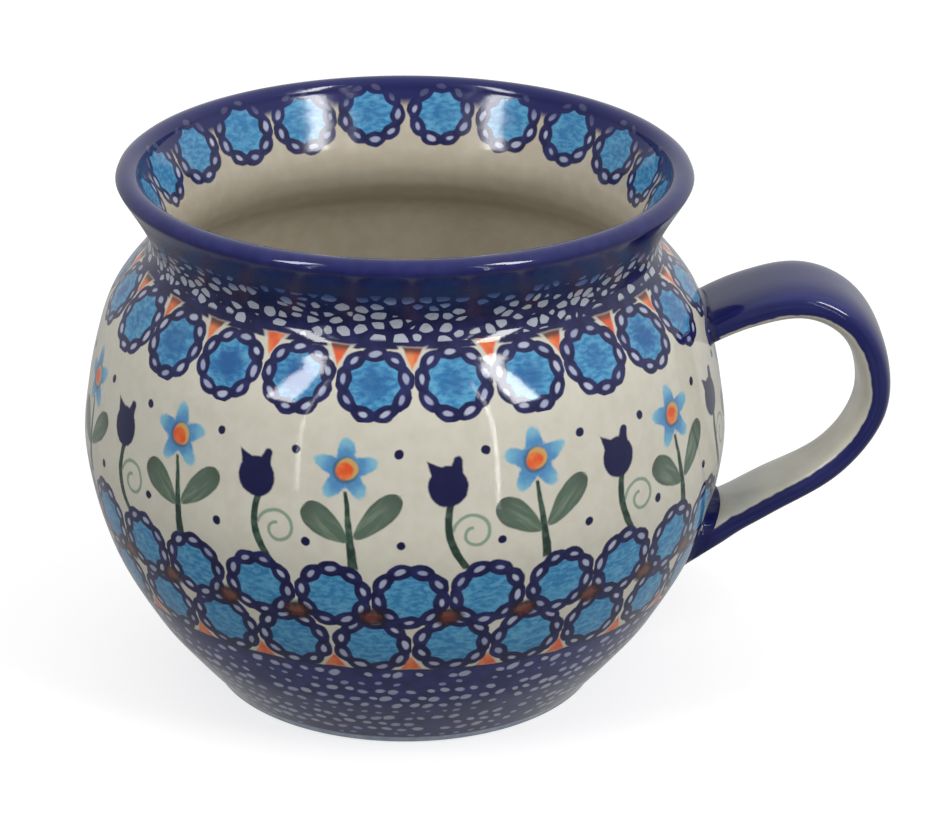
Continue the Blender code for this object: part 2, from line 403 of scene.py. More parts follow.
class WallPaint(Paint):
    """A glazed, painted band of the wall, with the wall's own coordinates."""

    def __init__(self, name, roughness=WALL_ROUGHNESS):
        super().__init__(name, roughness)
        split = self.node("ShaderNodeSeparateXYZ", {0: self.position})
        x, y, _ = [Value(self, socket) * MM for socket in split.outputs]
        self.radius = self.length(x, y)
        self.angle = self.math("ARCTAN2", y, x)
        self.arc = self.attribute("wall_arc")
        self.cloud, wobble = self.noise(420.0)
        wobble_u, wobble_v, _ = self.channels(wobble)
        self.shake_u = (wobble_u - 0.5) * HAND_SHAKE
        self.shake_v = (wobble_v - 0.5) * HAND_SHAKE
        self.fine, _ = self.noise(1500.0, detail=3.0, roughness=0.6)

    def cell(self, count, phase):
        """Return the cell number, and the distance along the wall from the cell's middle."""
        turn = (self.angle - math.radians(phase)) * (count / math.tau)
        number = self.math("ROUND", turn)
        across = (turn - number) * (math.tau / count) * self.radius
        return number % float(count), across

    def cream(self, base=CREAM):
        """Return the cream glaze with its faint cloudiness and specks."""
        specks = self.ramp(self.fine, 0.66, 0.80)
        clouds = self.ramp(self.cloud, 0.30, 0.75)
        base = self.blend(clouds * 0.5, base, CREAM_DEEP)
        return self.blend(specks * 0.35, base, CREAM_SPECK)

    def ink(self):
        """Return the navy ink, a little washed out in places."""
        return self.wash(self.cloud, 0.35, 0.8, 0.35, NAVY, COBALT_WASH)

    def orange(self):
        """Return the orange paint, paler where it lies thin."""
        return self.blend(self.ramp(self.cloud, 0.35, 0.7), ORANGE, ORANGE_PALE)

    def stems(self):
        """Return the stems' dark brushed green."""
        streak, _ = self.noise(700.0)
        return self.blend(self.ramp(streak, 0.4, 0.75), LEAF_DARK, LEAF)

    def rosette(self, under, row, ring_arc=None, flip=1.0, deep=0.0):
        """Draw a ring of rosettes: a plait of nine loops round a light blue heart."""
        number, across = self.cell(row["count"], row["phase"])
        spin, slide, size = self.chances(number, row["seed"])
        scale = 1.0 + (size - 0.5) * 0.05
        u = (across + self.shake_u + (slide - 0.5) * 0.35) * scale
        rise = (self.arc - (ring_arc or row["arc"])) * flip
        v = (rise + self.shake_v + (spin - 0.5) * 0.3) * scale
        reach = self.length(u, v)
        loops = self.math("ARCTAN2", v, u) * (PLAIT_LOOPS / math.tau) + spin * float(PLAIT_LOOPS)
        loop_number = self.math("ROUND", loops)
        share = loops - loop_number
        along = share * (math.tau / PLAIT_LOOPS) * row["ring"]
        off = reach - row["ring"]
        swell = self.math("COSINE", share * math.pi) * PLAIT_SWELL
        plait = abs(off) - row["waist"] - swell
        plait = self.inside(plait + (self.cloud - 0.5) * 0.35)
        heart = self.inside(off)
        loop_number = loop_number % float(PLAIT_LOOPS)
        grow, tint, _ = self.chances(loop_number, number + row["seed"])
        eye = self.length((along + off * EYE_SLANT) / EYE_HALF_LENGTH, off / EYE_HALF_WIDTH)
        eye = self.inside((eye - 0.82 - grow * 0.35 + (self.cloud - 0.5) * 0.5) * EYE_HALF_WIDTH)

        streaks = self.brushed(u * 0.75, v * 1.45, number * 3.7 + row["seed"])
        sky = self.blend(self.ramp(streaks, 0.36, 0.66), SKY_DEEP, SKY)
        pale = self.ramp(self.cloud + (self.fine - 0.5) * 0.5, 0.52, 0.80)
        sky = self.blend(pale * 0.6, sky, SKY_PALE)
        core = self.inside(reach - 1.4 - slide * 1.4 + (streaks - 0.5) * 2.0, 1.5)
        sky = self.blend(core * deep * (0.4 + size * 0.6), sky, SKY_CORE)
        wash = self.ramp(self.cloud, 0.35, 0.8)
        ink = self.blend(wash * 0.45 + self.ramp(self.fine, 0.45, 0.75) * 0.2, NAVY, COBALT_WASH)
        colour = self.blend(heart, under, sky)
        colour = self.blend(plait, colour, ink)
        colour = self.blend(eye * 0.94, colour, self.blend(tint * 0.45, GRAIN_WHITE, PEBBLE_BLUE))
        return colour, plait

    def finish(self, colour, bumps=(), rougher=0.0):
        """Wire the colour and the gloss to the shader, with the glaze's own bumps and any more."""
        glaze = self.glaze_bumps(WALL_WAVES_PER_METRE, self.fine)
        return super().finish(colour, [*glaze, *bumps], rougher)


def paint_rim():
    """Return solid cobalt over the lip, thinner and more violet where the brush ran dry, with painted
    shade under its overhang.
    """
    paint = WallPaint("cobalt_rim")
    thin = paint.ramp(paint.cloud, 0.35, 0.85)
    streak, _ = paint.noise(120.0, detail=3.0, source=paint.stretched((1.0, 1.0, 5.0)))
    colour = paint.blend(thin * 0.35, RIM_COBALT, RIM_WASH)
    colour = paint.wash(streak, 0.45, 0.8, 0.30, colour, NAVY)
    # Painted shade: the cobalt turns dark greyish blue under the lip's overhang
    under = paint.ramp(paint.arc + paint.shake_v, NET_TOP + 3.0, NET_TOP + 0.2)
    colour = paint.blend(under, colour, PAINTED_LIP_SHADE)
    soft = paint.ramp(paint.arc, NET_TOP + 5.0, NET_TOP + 1.0)
    return paint.finish(colour, rougher=soft * UNDER_RIM_ROUGHER)


def grain_rows(paint, bottom, pitch, step, width, height, seed):
    """Return a mask of small irregular grains in rough rows round the wall, and their chances."""
    climb = (paint.arc + paint.shake_v * 0.8 - bottom) / pitch
    row = paint.math("FLOOR", climb)
    rise = (climb - row - 0.5) * pitch
    row_chance, _, _ = paint.chances(row, seed)
    count = paint.math("ROUND", (row * pitch * 0.45 + 37.0) * (math.tau / step))
    turn = (paint.angle / math.tau) * count + row_chance
    number = paint.math("FLOOR", turn)
    across = (turn - number - 0.5) / count * paint.radius * math.tau + paint.shake_u * 0.8
    wrapped = number % count
    first, second, third = paint.chances(wrapped + row * 137.0, seed + 1.0)
    tilt = (third - 0.5) * 1.3
    u = across + (first - 0.5) * step * 0.34
    v = rise + (second - 0.5) * pitch * 0.34
    along = u * paint.math("COSINE", tilt) + v * paint.math("SINE", tilt)
    side = v * paint.math("COSINE", tilt) - u * paint.math("SINE", tilt)
    fourth_row = paint.math("LESS_THAN", row % 4.0, 0.5)
    grow = (0.62 + first * 0.30 + third * 0.30) * (1.0 - fourth_row * 0.35)
    reach = paint.length(along / (grow * width), side / (grow * height))
    size = (reach - 1.0 + (paint.cloud - 0.5) * 1.1) * height
    present = paint.math("GREATER_THAN", paint.math("FRACT", second * 7.0 + third), 0.12)
    return paint.inside(size, 0.16) * present, second, fourth_row


def paint_net():
    """Return the neck: rough pale pebbles in a cobalt net, fading to blue under the rim, with painted
    shade right under the rim.
    """
    paint = WallPaint("pebble_net")
    edge, middle, chance = paint.pebbles(NET_PEBBLES_PER_METRE, NET_STRETCH)
    room = edge + (NET_PEBBLE_REACH - middle) * 0.55
    mask = paint.ramp(room, NET_LINE - 0.03, NET_LINE + 0.03)
    climb = paint.arc + (chance - 0.5) * 2.4
    blue = paint.ramp(climb, NET_TOP - 4.2, NET_TOP - 1.2)
    stone = paint.blend(blue, PEBBLE_WHITE, PEBBLE_BLUE)
    stone = paint.wash(paint.fine, 0.5, 0.8, 0.4, stone, PEBBLE_BLUE)
    low = paint.ramp(paint.arc + (chance - 0.5) * 1.6, NET_BOTTOM - 0.2, NET_BOTTOM + 0.3)
    shown = mask * low * (1.0 - paint.ramp(climb, NET_TOP - 1.0, NET_TOP - 0.4))
    colour = paint.blend(shown, paint.ink(), stone)
    # Painted shade: the net and its pebbles darken to greyish blue just under the rim
    lip_shade = paint.ramp(paint.arc, NET_TOP - 2.0, NET_TOP - 0.2)
    colour = paint.blend(lip_shade * (1.0 - shown * 0.5), colour, PAINTED_LIP_SHADE)
    soft = paint.ramp(paint.arc, NET_BOTTOM, NET_BOTTOM + 4.0)
    return paint.finish(colour, rougher=soft * UNDER_RIM_ROUGHER)


def wedge(paint, across, arc, tip, base, half_width):
    """Return the mask of a triangle whose tip and base are at the given arc heights."""
    share = (arc - tip) / (base - tip)
    side = abs(across) - share * half_width
    end = (share - 1.0) * abs(base - tip)
    return paint.inside(paint.most(side * 0.9, end), 0.22)


def orange_patch(paint, under, mask, inked):
    """Lay an orange brush mark on the colour, browner where it crosses the cobalt."""
    warm = paint.blend(inked * 0.85, paint.orange(), BROWN_DARK)
    return paint.blend(mask * 0.96, under, warm)


def paint_upper_rosettes():
    """Return the shoulder band: rosettes with small orange triangles between their tops."""
    paint = WallPaint("upper_rosettes")
    net = paint.ramp(paint.arc + paint.shake_v * 1.6, NET_BOTTOM - 1.4, NET_BOTTOM - 1.0)
    colour = paint.blend(net, paint.cream(), paint.ink())
    colour, plait = paint.rosette(colour, ROW_TOP, deep=1.0)
    half_step = 180.0 / ROW_TOP["count"]
    number, across = paint.cell(ROW_TOP["count"], ROW_TOP["phase"] + half_step)
    lift, slide, _ = paint.chances(number, 61.0)
    arc = paint.arc + paint.shake_v + (lift - 0.5) * 0.9
    across = across + paint.shake_u + (slide - 0.5) * 0.6
    halo = wedge(paint, across, arc, TRIANGLE_TIP - 0.4, TRIANGLE_BASE + 0.1, TRIANGLE_HALF_WIDTH + 0.8)
    colour = paint.blend(halo * (1.0 - plait) * 0.8, colour, paint.cream())
    patch = wedge(paint, across, arc, TRIANGLE_TIP, TRIANGLE_BASE, TRIANGLE_HALF_WIDTH)
    dark_top = paint.ramp(arc, TRIANGLE_BASE - 1.5, TRIANGLE_BASE - 0.4)
    dark_top = dark_top * paint.ramp(lift, 0.35, 0.75)
    colour = orange_patch(paint, colour, patch, paint.most(plait * 0.6, dark_top))
    return paint.finish(colour)


def leaf_mask(paint, u, v, middle, degrees, half_length, half_width, swell):
    """Return a leaf's mask, and how far along and across it each point is."""
    angle = math.radians(degrees)
    du = u - middle[0]
    dv = v - middle[1]
    along = (du * math.cos(angle) + dv * math.sin(angle)) / half_length
    side = (dv * math.cos(angle) - du * math.sin(angle)) / half_width
    room = paint.most(1.0 - along * along, 0.0)
    width = paint.math("SQRT", room) * (along * swell + 1.0)
    edge = paint.most(abs(side) - width, abs(along) - 1.0)
    return paint.inside(edge * half_width, 0.18), along, side


def leaf_colour(paint, along, side, seed):
    """Return a brushed green: streaked along the leaf, darker at its tip and its edges."""
    streak = paint.brushed(along * 0.9, side * 2.4, seed)
    body = paint.wash(streak, 0.42, 0.72, 0.85, LEAF, LEAF_PALE)
    rim = paint.ramp(abs(side) + (streak - 0.5) * 0.9, 0.55, 1.15)
    tip = paint.ramp(along + (streak - 0.5) * 1.4, 0.1, 1.2)
    return paint.blend(paint.most(rim * 0.7, tip * 0.85), body, LEAF_DARK)


def stem_mask(paint, across, half_width):
    """Return the mask of a brushed stem from the distance to its middle line."""
    return paint.inside(abs(across) - half_width, 0.16)


def capsule(paint, u, v, start, end, radius):
    """Return the signed distance to a thick line with round ends."""
    run = (end[0] - start[0], end[1] - start[1])
    span = run[0] * run[0] + run[1] * run[1]
    share = ((u - start[0]) * run[0] + (v - start[1]) * run[1]) / span
    share = paint.most(paint.least(share, 1.0), 0.0)
    return paint.length(u - start[0] - share * run[0], v - start[1] - share * run[1]) - radius


def three_sided(paint, u, v, corners):
    """Return the signed distance to a triangle whose corners run anticlockwise."""
    distance = None
    for i in range(3):
        start, end = corners[i], corners[(i + 1) % 3]
        run = (end[0] - start[0], end[1] - start[1])
        span = math.hypot(*run)
        side = ((u - start[0]) * run[1] - (v - start[1]) * run[0]) / span
        distance = paint.most(distance, side) if distance else side
    return distance


def flower_place(paint, flower):
    """Return one random number of each flower in the ring, and the flat coordinates from its middle."""
    number, across = paint.cell(FRIEZE_UNITS, flower["phase"])
    slide, lift, spare = paint.chances(number, flower["seed"])
    u = across + paint.shake_u * 0.7 + (slide - 0.5) * 0.7
    v = paint.arc - flower["arc"] + paint.shake_v * 0.7 + (lift - 0.5) * 0.6
    return spare, u, v


def star_stem(paint, u, v):
    """Return the mask of the star flower's stem."""
    drop = -STAR_STEM_START - v
    middle = drop * 0.125 - drop * drop * 0.0012
    half_width = 0.30 + paint.most(drop, 0.0) * 0.040
    mask = stem_mask(paint, u - middle, half_width)
    foot = paint.ramp(drop, STAR_STEM_LENGTH, STAR_STEM_LENGTH - 0.6)
    return mask * paint.ramp(drop, -0.2, 0.3) * foot


def tulip_stem(paint, u, v):
    """Return the mask of the tulip's curved stem."""
    level = v - TULIP_STEM_BEND
    middle = level * level * 0.052
    mask = stem_mask(paint, u - middle, 0.50 - v * 0.015)
    return mask * paint.ramp(v, -2.9, -3.4) * paint.ramp(v, -14.2, -13.6)


def tendril_mask(paint, u, v):
    """Return the mask of the thin tendril that curls up beside the tulip's stem."""
    du = u - TENDRIL_MIDDLE[0]
    dv = v - TENDRIL_MIDDLE[1]
    reach = paint.length(du, dv)
    angle = paint.math("ARCTAN2", dv, du)
    outer = TENDRIL_REACH - (TENDRIL_START - angle) * TENDRIL_CLOSING
    inner = outer - math.tau * TENDRIL_CLOSING
    first = stem_mask(paint, reach - outer, TENDRIL_HALF_WIDTH)
    first = first * paint.ramp(angle, TENDRIL_START + 0.05, TENDRIL_START - 0.05)
    second = stem_mask(paint, reach - inner, TENDRIL_HALF_WIDTH) * paint.ramp(angle, 1.5, 1.8)
    return paint.most(first, second)


def tulip_mask(paint, u, v):
    """Return the mask of the tulip's head: a round cup, a square chest and two pointed petals."""
    cup = paint.length((u - 0.05) / TULIP_HALF_WIDTH, (v + 0.35) / TULIP_HALF_HEIGHT) - 1.0
    cup = cup * TULIP_HALF_WIDTH
    brim = v - 2.55 - abs(u + 0.35) * 0.30
    chest = paint.most(abs(u) - TULIP_CHEST_HALF_WIDTH, brim, -0.5 - v)
    left_horn = three_sided(paint, u, v, TULIP_LEFT_HORN)
    right_horn = three_sided(paint, u, v, TULIP_RIGHT_HORN)
    right_tip = capsule(paint, u, v, *TULIP_RIGHT_TIP)
    horns = paint.least(left_horn, paint.most(right_horn, v - TULIP_RIGHT_HORN_TOP), right_tip)
    return paint.inside(paint.least(cup, chest, horns) + (paint.fine - 0.5) * 0.25, 0.2)


def lay_star(paint, colour, u, v, spin):
    """Paint the light blue star flower with its ringed orange heart."""
    reach = paint.length(u, v)
    turn = paint.math("ARCTAN2", v, u) + (spin - 0.5) * 0.25
    petals = paint.math("COSINE", (turn - math.radians(PETAL_TURN)) * PETALS)
    blot = (paint.cloud - 0.5) * 1.1
    edge = reach - PETAL_REACH - petals * PETAL_SWING + blot
    star = paint.inside(edge + (paint.fine - 0.5) * 0.9, 0.42)
    outward = paint.ramp(reach + (paint.cloud - 0.5) * 3.0, 2.4, 5.0)
    watery = paint.blend(outward, PETAL_DEEP, PETAL_PALE)
    watery = paint.wash(paint.fine, 0.45, 0.8, 0.35, watery, SKY_PALE)
    colour = paint.blend(star * 0.95, colour, watery)
    ring = paint.inside(reach - STAR_RING_RADIUS + blot * 0.4, 0.3)
    colour = paint.blend(ring * 0.75, colour, PETAL_RING)
    crescent = paint.length(u - 0.3, v - 0.25) - STAR_CRESCENT_RADIUS
    colour = paint.blend(paint.inside(crescent + blot * 0.3, 0.22) * 0.9, colour, OCHRE)
    disc = paint.length(u + 0.15, v + 0.12) - STAR_DISC_RADIUS
    colour = paint.blend(paint.inside(disc + blot * 0.4, 0.28), colour, paint.orange())
    for dot_u, dot_v in DOTS:
        dot = paint.inside(paint.length(u - dot_u, v - dot_v) - DOT_RADIUS + blot * 0.25, 0.14)
        colour = paint.blend(dot, colour, NAVY)
    return colour


def paint_frieze():
    """Return the cream frieze of navy tulips and light blue star flowers."""
    paint = WallPaint("flower_frieze")
    colour = paint.cream()

    _, u, v = flower_place(paint, TULIP)
    colour = paint.blend(tendril_mask(paint, u, v) * 0.9, colour, TENDRIL)
    colour = paint.blend(tulip_stem(paint, u, v), colour, paint.stems())
    tulip_ink = paint.wash(paint.cloud, 0.4, 0.85, 0.35, NAVY, COBALT)
    colour = paint.blend(tulip_mask(paint, u, v), colour, tulip_ink)

    spin, u, v = flower_place(paint, STAR)
    colour = paint.blend(star_stem(paint, u, v), colour, paint.stems())
    for leaf in LEAVES:
        mask, along, side = leaf_mask(paint, u, v, *leaf)
        colour = paint.blend(mask * 0.94, colour, leaf_colour(paint, along, side, spin * 40.0))
    colour = lay_star(paint, colour, u, v, spin)
    return paint.finish(colour)


def paint_lower_rosettes():
    """Return the two staggered rows of rosettes with brown and orange marks between them."""
    paint = WallPaint("lower_rosettes")
    colour = paint.cream()
    _, u, v = flower_place(paint, TULIP)
    colour = paint.blend(tulip_stem(paint, u, v), colour, paint.stems())
    _, u, v = flower_place(paint, STAR)
    colour = paint.blend(star_stem(paint, u, v), colour, paint.stems())
    colour, plait_b = paint.rosette(colour, ROW_B)
    colour, plait_a = paint.rosette(colour, ROW_A)
    inked = paint.most(plait_a, plait_b)

    _, across = paint.cell(ROW_A["count"], ROW_A["phase"] + 180.0 / ROW_A["count"])
    arc = paint.arc + paint.shake_v
    blot_u = (across + paint.shake_u * 2.0) / BROWN_HALF_LENGTH
    blot = paint.length(blot_u, (arc - BROWN_ARC + paint.shake_v) / BROWN_HALF_HEIGHT)
    patch = paint.inside((blot - 1.0) * 1.7, 0.45)
    brown = paint.blend(paint.ramp(blot + (paint.fine - 0.5) * 1.2, 0.25, 0.85), BROWN, BROWN_DARK)
    colour = paint.blend(patch * 0.95, colour, brown)

    _, across = paint.cell(ROW_B["count"], ROW_B["phase"] + 180.0 / ROW_B["count"])
    across = across + paint.shake_u
    patch = wedge(paint, across, arc, LOW_WEDGE_TIP, LOW_WEDGE_BASE, LOW_WEDGE_HALF_WIDTH)
    colour = orange_patch(paint, colour, patch, inked * 0.5)
    ground = paint.ramp(paint.arc + paint.shake_v * 1.4, GRAIN_TOP + 0.7, GRAIN_TOP + 0.3)
    colour = paint.blend(ground, colour, paint.blend(paint.cloud * 0.4, NAVY, COBALT_WASH))
    return paint.finish(colour)


def paint_grains():
    """Return the base band: small pale grains in rough rows on cobalt."""
    paint = WallPaint("grain_band")
    mask, chance, small = grain_rows(paint, **GRAINS)
    ink = paint.wash(paint.cloud, 0.3, 0.8, 0.5, GRAIN_INK, GRAIN_INK_WASH)
    grain = paint.blend(paint.most(chance * 0.5, small * 0.8), GRAIN_WHITE, GRAIN_BLUE)
    colour = paint.blend(mask * 0.93, ink, grain)
    colour = paint.blend(paint.ramp(paint.arc + paint.shake_v, 0.6, 0.2), colour, FOOT_GLAZE)
    return paint.finish(colour)


def paint_inside(ring_arc):
    """Return the inside: a ring of rosettes hanging under the cobalt lip, then cream painted darker
    than the outside's, as painted shade.
    """
    paint = WallPaint("inside_glaze", INSIDE_ROUGHNESS)
    ground = paint.ramp(paint.arc + paint.shake_v * 2.0, ring_arc - 0.8, ring_arc - 2.6)
    # The cream here is a darker copy of the outside's cream: painted shade inside the cup
    colour = paint.blend(ground, paint.cream(SHADED_INSIDE_CREAM), RIM_COBALT)
    colour, plait = paint.rosette(colour, ROW_IN, ring_arc, -1.0, deep=0.4)
    film = paint.ramp(paint.arc, ring_arc - 0.2, ring_arc - 3.4) * plait
    colour = paint.blend(film * 0.85, colour, RIM_COBALT)
    rings = paint.math("SINE", paint.arc * 1.7 + (paint.cloud - 0.5) * 2.0)
    return paint.finish(colour, [(rings, 0.15, 0.00006)])


def paint_bare_clay():
    """Return the unglazed foot: buff, dry stoneware with fine grit."""
    paint = Paint("bare_stoneware", BARE_CLAY_ROUGHNESS)
    grit, _ = paint.noise(2600.0, detail=3.0, roughness=0.7)
    stain, _ = paint.noise(140.0, detail=3.0)
    colour = paint.wash(stain, 0.35, 0.75, 0.6, BARE_CLAY, CLAY_STAIN)
    colour = paint.wash(grit, 0.60, 0.75, 0.5, colour, CLAY_GRIT)
    return paint.finish(colour, [(grit, 0.35, 0.00012)])


# ---------------- the wall as a surface

def smooth_curve(points, steps):
    """Return a smooth curve through the points, with the given steps in each span."""
    knots = [Vector((a, 0.0, b)) for a, b in points]
    padded = [knots[0] * 2.0 - knots[1]] + knots + [knots[-1] * 2.0 - knots[-2]]
    curve = []
    for i in range(1, len(padded) - 2):
        before, start, end, after = padded[i - 1:i + 3]
        span = (end - start).length
        pull_start = (end - before).normalized() * span / 3.0
        pull_end = (after - start).normalized() * span / 3.0
        curve.extend(interpolate_bezier(start, start + pull_start, end - pull_end, end, steps + 1)[:-1])
    curve.append(knots[-1])
    return curve


def lip_arc():
    """Return the half-round lip between the outer and the inner wall."""
    outer = Vector((OUTER_WALL[-1][0], 0.0, OUTER_WALL[-1][1]))
    inner = Vector((INNER_WALL[0][0], 0.0, INNER_WALL[0][1]))
    middle = (outer + inner) / 2.0
    reach = (outer - inner) / 2.0
    arc = []
    for i in range(1, LIP_STEPS):
        angle = math.pi * i / LIP_STEPS
        rise = Vector((0.0, 0.0, (MUG_HEIGHT - middle.z) * math.sin(angle)))
        arc.append(middle + reach * math.cos(angle) + rise)
    top = max(point.z for point in arc)
    for point in arc:
        point.z = middle.z + (point.z - middle.z) * (MUG_HEIGHT - middle.z) / (top - middle.z)
    return arc


class Outline:
    """The wall's section as a curve, measured by its arc length in millimetres."""

    def __init__(self):
        self.outer = smooth_curve(OUTER_WALL, CURVE_STEPS)
        self.points = self.outer + lip_arc() + smooth_curve(INNER_WALL, CURVE_STEPS)
        self.arcs = [0.0]
        for first, second in zip(self.points, self.points[1:]):
            self.arcs.append(self.arcs[-1] + (second - first).length * MM)
        self.lip_inner = self.arcs[len(self.outer) + LIP_STEPS - 1]
        self.end = self.arcs[-1]

    def at(self, arc):
        """Return the section's point at an arc length."""
        low = min(max(bisect_right(self.arcs, arc) - 1, 0), len(self.arcs) - 2)
        share = (arc - self.arcs[low]) / (self.arcs[low + 1] - self.arcs[low])
        return self.points[low].lerp(self.points[low + 1], min(max(share, 0.0), 1.0))

    def normal(self, arc):
        """Return the section's outward normal at an arc length."""
        along = self.at(min(arc + NORMAL_REACH, self.end)) - self.at(max(arc - NORMAL_REACH, 0.0))
        return Vector((along.z, 0.0, -along.x)).normalized()

    def arc_of_inner_height(self, height):
        """Return the arc length at which the inner wall passes a height on its way down."""
        for arc, point in zip(self.arcs, self.points):
            if arc > self.lip_inner and point.z <= height:
                return arc
        return self.end

    def radius(self, height):
        """Return the outer wall's radius at a height."""
        for low, high in zip(self.outer, self.outer[1:]):
            if low.z <= height <= high.z:
                share = (height - low.z) / (high.z - low.z)
                return low.x + (high.x - low.x) * share
        return self.outer[0].x if height < self.outer[0].z else self.outer[-1].x

    def clearance(self, point):
        """Return how far the point stands off the wall, along the wall's own slope."""
        rise = self.radius(point.z + SLOPE_REACH) - self.radius(point.z - SLOPE_REACH)
        slope = rise / (2.0 * SLOPE_REACH)
        out = math.hypot(point.x, point.y) - self.radius(point.z)
        return out / math.hypot(1.0, slope)

    def seat(self, point, direction, wanted):
        """Slide the point along the direction until it stands off the wall as wanted."""
        near_point = point - direction * SEAT_REACH
        far_point = point + direction * SEAT_REACH
        for _ in range(SEAT_HALVINGS):
            middle = (near_point + far_point) / 2.0
            if self.clearance(middle) > wanted:
                near_point = middle
            else:
                far_point = middle
        return (near_point + far_point) / 2.0


def turned(point, angle):
    """Return a point of the section turned about the axis."""
    return (point.x * math.cos(angle), point.x * math.sin(angle), point.z)


def smooth_mesh(name, vertices, faces, layers):
    """Return a smooth mesh that carries, for each named layer, one number at every vertex."""
    mesh = bpy.data.meshes.new(name)
    mesh.from_pydata(vertices, [], faces)
    mesh.shade_smooth()
    for layer_name, values in layers:
        layer = mesh.attributes.new(layer_name, "FLOAT", "POINT")
        layer.data.foreach_set("value", values)
    return mesh


def turned_mesh(name, rows, arcs, normals):
    """Return a mesh of rings turned about the axis. A row of no radius becomes one point."""
    vertices, faces, arc_values, vertex_normals, rings = [], [], [], [], []
    for i, row in enumerate(rows):
        turns = 1 if row.x == 0.0 else TURN_STEPS
        rings.append(range(len(vertices), len(vertices) + turns))
        arc_values.extend([arcs[i]] * turns)
        for j in range(turns):
            angle = math.tau * j / TURN_STEPS
            vertices.append(turned(row, angle))
            if normals:
                vertex_normals.append(turned(normals[i], angle))
    for low, high in zip(rings, rings[1:]):
        for j in range(TURN_STEPS):
            k = (j + 1) % TURN_STEPS
            low_edge = [low[0]] if len(low) == 1 else [low[j], low[k]]
            high_edge = [high[0]] if len(high) == 1 else [high[k], high[j]]
            faces.append(low_edge + high_edge)
    mesh = smooth_mesh(name, vertices, faces, [("wall_arc", arc_values)])
    if normals:
        mesh.normals_split_custom_set_from_vertices(vertex_normals)
    return mesh


def add_object(name, data):
    """Add an object to the scene."""
    made = bpy.data.objects.new(name, data)
    bpy.context.scene.collection.objects.link(made)
    return made


def add_piece(name, mesh, node):
    """Add a mesh as a piece in place of a CAD node, which it hides, placed about the body's axis."""
    piece = add_object(name, mesh)
    piece.location.x = BODY_AXIS_X
    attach(piece, "root")
    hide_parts(node)


def wall_piece(name, outline, bands):
    """Build one part of the wall from bands of (start arc, end arc, material)."""
    arcs, row_slots = [bands[0][0]], []
    for slot, (start, end, _) in enumerate(bands):
        steps = max(2, round((end - start) / (WALL_ROW_STEP * MM)))
        for i in range(1, steps + 1):
            arcs.append(start + (end - start) * i / steps)
            row_slots.append(slot)
    rows = [outline.at(arc) for arc in arcs]
    if rows[-1].x < AXIS_TOLERANCE:
        rows[-1].x = 0.0
    normals = [outline.normal(arc) for arc in arcs]
    mesh = turned_mesh(name, rows, arcs, normals)
    for _, _, material in bands:
        mesh.materials.append(material)
    slots = [slot for slot in row_slots for _ in range(TURN_STEPS)]
    mesh.polygons.foreach_set("material_index", slots)
    add_piece(name, mesh, "mug_body")


def paint_foot_edge():
    """Return the thin pale blue line of glaze that runs down to the foot's edge."""
    paint = Paint("foot_edge_glaze", FOOT_EDGE_ROUGHNESS)
    mottle, _ = paint.noise(500.0)
    colour = paint.blend(paint.ramp(mottle, 0.35, 0.7), FOOT_GLAZE, FOOT_GLAZE_PALE)
    return paint.finish(colour, [(mottle, 0.2, 0.0001)])


def foot_piece():
    """Build the bare foot ring and the recessed base, with glaze on the ring's outer edge."""
    rows = []
    for start, end in zip(FOOT, FOOT[1:]):
        span = math.hypot(end[0] - start[0], end[1] - start[1])
        steps = max(1, round(span / FOOT_ROW_STEP))
        for i in range(steps):
            share = i / steps
            radius = start[0] + (end[0] - start[0]) * share
            rows.append(Vector((radius, 0.0, start[1] + (end[1] - start[1]) * share)))
    rows.append(Vector((FOOT[-1][0], 0.0, FOOT[-1][1])))
    mesh = turned_mesh("foot_ring", rows, [0.0] * len(rows), None)
    mesh.materials.append(paint_bare_clay())
    mesh.materials.append(paint_foot_edge())
    glazed = []
    for face in mesh.polygons:
        inner_radius = min(math.hypot(*mesh.vertices[i].co.xy) for i in face.vertices)
        glazed.append(int(inner_radius > FOOT_GLAZE_RADIUS))
    mesh.polygons.foreach_set("material_index", glazed)
    mesh.set_sharp_from_angle(angle=FOOT_SHARP_ANGLE)
    add_piece("foot_ring", mesh, "mug_body")


def build_wall(outline):
    """Build the whole wall in four parts that share their edges."""
    ring_arc = outline.arc_of_inner_height(INNER_RING_HEIGHT)
    lip_end = ring_arc - LIP_PAINT_ABOVE_RING
    wall_piece("base_wall", outline, [
        (0.0, GRAIN_TOP, paint_grains()),
        (GRAIN_TOP, ROSETTE_TOP, paint_lower_rosettes()),
    ])
    wall_piece("belly_wall", outline, [(ROSETTE_TOP, FRIEZE_TOP, paint_frieze())])
    wall_piece("shoulder_wall", outline, [
        (FRIEZE_TOP, NET_BOTTOM, paint_upper_rosettes()),
        (NET_BOTTOM, NET_TOP, paint_net()),
        (NET_TOP, lip_end, paint_rim()),
    ])
    wall_piece("inner_wall", outline, [(lip_end, outline.end, paint_inside(ring_arc))])
    foot_piece()


# ---------------- the handle and its joints

# Middle of the strap as (distance from the axis, height), from shoulder to belly
STRAP_PATH = (
    (0.0460, 0.0602), (0.0560, 0.0648), (0.0654, 0.0664), (0.0728, 0.0627),
    (0.0768, 0.0546), (0.0768, 0.0457), (0.0710, 0.0369), (0.0601, 0.0302),
    (0.0460, 0.0219),
)
# Strap size as (share of its length from the shoulder, width, thickness)
STRAP_SIZES = (
    (0.00, 0.0184, 0.0050),
    (0.30, 0.0182, 0.0058),
    (0.63, 0.0110, 0.0049),
    (0.86, 0.0138, 0.0048),
    (1.00, 0.0160, 0.0068),
)
